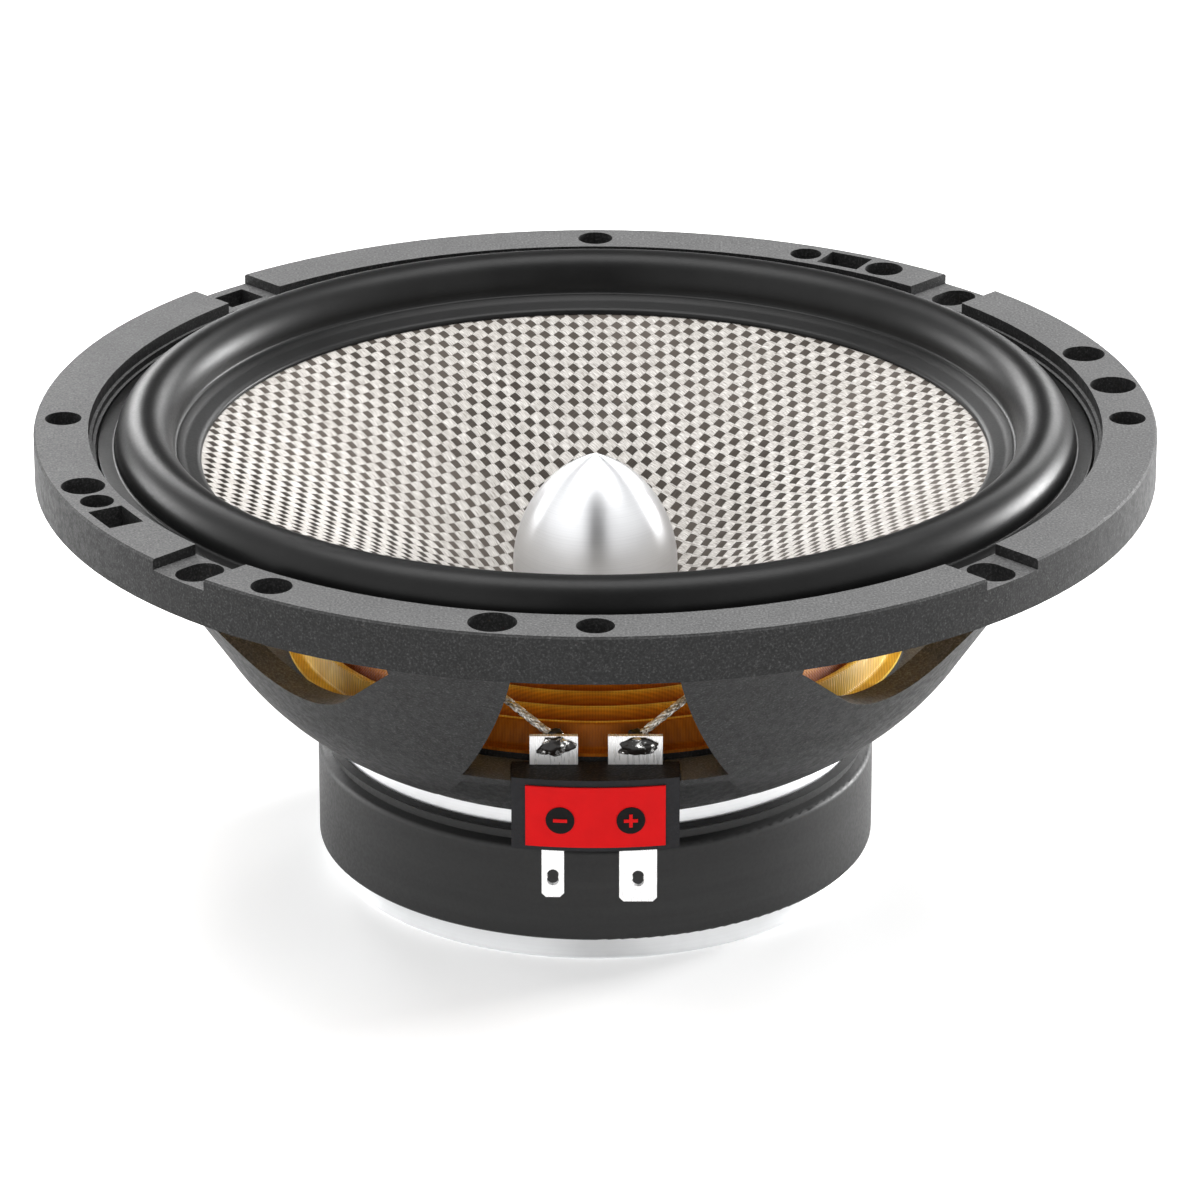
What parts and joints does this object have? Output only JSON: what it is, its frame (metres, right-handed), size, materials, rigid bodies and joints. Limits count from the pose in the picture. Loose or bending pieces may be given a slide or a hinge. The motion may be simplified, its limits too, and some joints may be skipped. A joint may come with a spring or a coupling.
{
  "type": "component car woofer",
  "caption": "Round mid-bass car loudspeaker: flanged basket, woven cone on a rubber half-roll, fixed pointed phase plug, booted ferrite motor and side terminal block.",
  "frame": {"origin": "centre of the bolt circle in the flange's rear face", "axes": "+Z along the axis of the cone, towards the listener; the terminal block faces -Y"},
  "size_m": [0.165, 0.165, 0.0717],
  "materials": {
    "composite": "fine-grained glass-filled moulding",
    "surround_rubber": "satin rubber",
    "glass_weave": "woven glass fibre under clear resin",
    "former_foil": "thin varnished foil",
    "copper_wire": "enamelled copper wire",
    "adhesive": "cured black adhesive",
    "spider_cloth": "resin-stiffened corrugated cloth",
    "satin_aluminium": "satin turned aluminium",
    "zinc_steel": "bright zinc-plated steel",
    "ferrite": "sintered ferrite",
    "boot_rubber": "smooth moulded rubber",
    "terminal_plastic": "grained moulding",
    "label_red": "printed film",
    "label_black": "printed film",
    "tinned_brass": "bright tin plate",
    "solder": "solder",
    "tinsel": "braided tinned wire",
    "black_steel": "black-passivated steel"
  },
  "bodies": {
    "chassis": {"basket": "composite", "basket_screws": "black_steel", "surround": "surround_rubber", "spider": "spider_cloth", "phase_plug": "satin_aluminium", "plug_stud": "zinc_steel", "top_plate": "zinc_steel", "magnet": "ferrite", "t_yoke": "zinc_steel", "magnet_boot": "boot_rubber", "terminal_block": "terminal_plastic", "terminal_label": "label_red", "polarity_discs": "label_black", "polarity_signs": "label_red", "negative_terminal": "tinned_brass", "positive_terminal": "tinned_brass", "lug_solder": "solder", "negative_tinsel_lead": "tinsel", "positive_tinsel_lead": "tinsel"},
    "diaphragm": {"cone": "glass_weave", "neck_adhesive": "adhesive", "voice_coil_former": "former_foil", "voice_coil_winding": "copper_wire", "coil_leadouts": "copper_wire", "lead_solder_pads": "solder"}
  },
  "joints": [
    {"name": "cone_excursion", "type": "slide", "parent": "chassis", "child": "diaphragm", "axis": [0, 0, 1], "range_m": [-0.0045, 0.0045], "stiffness_N_per_m": 1200, "deforming": ["surround", "spider", "negative_tinsel_lead", "positive_tinsel_lead"]}
  ]
}
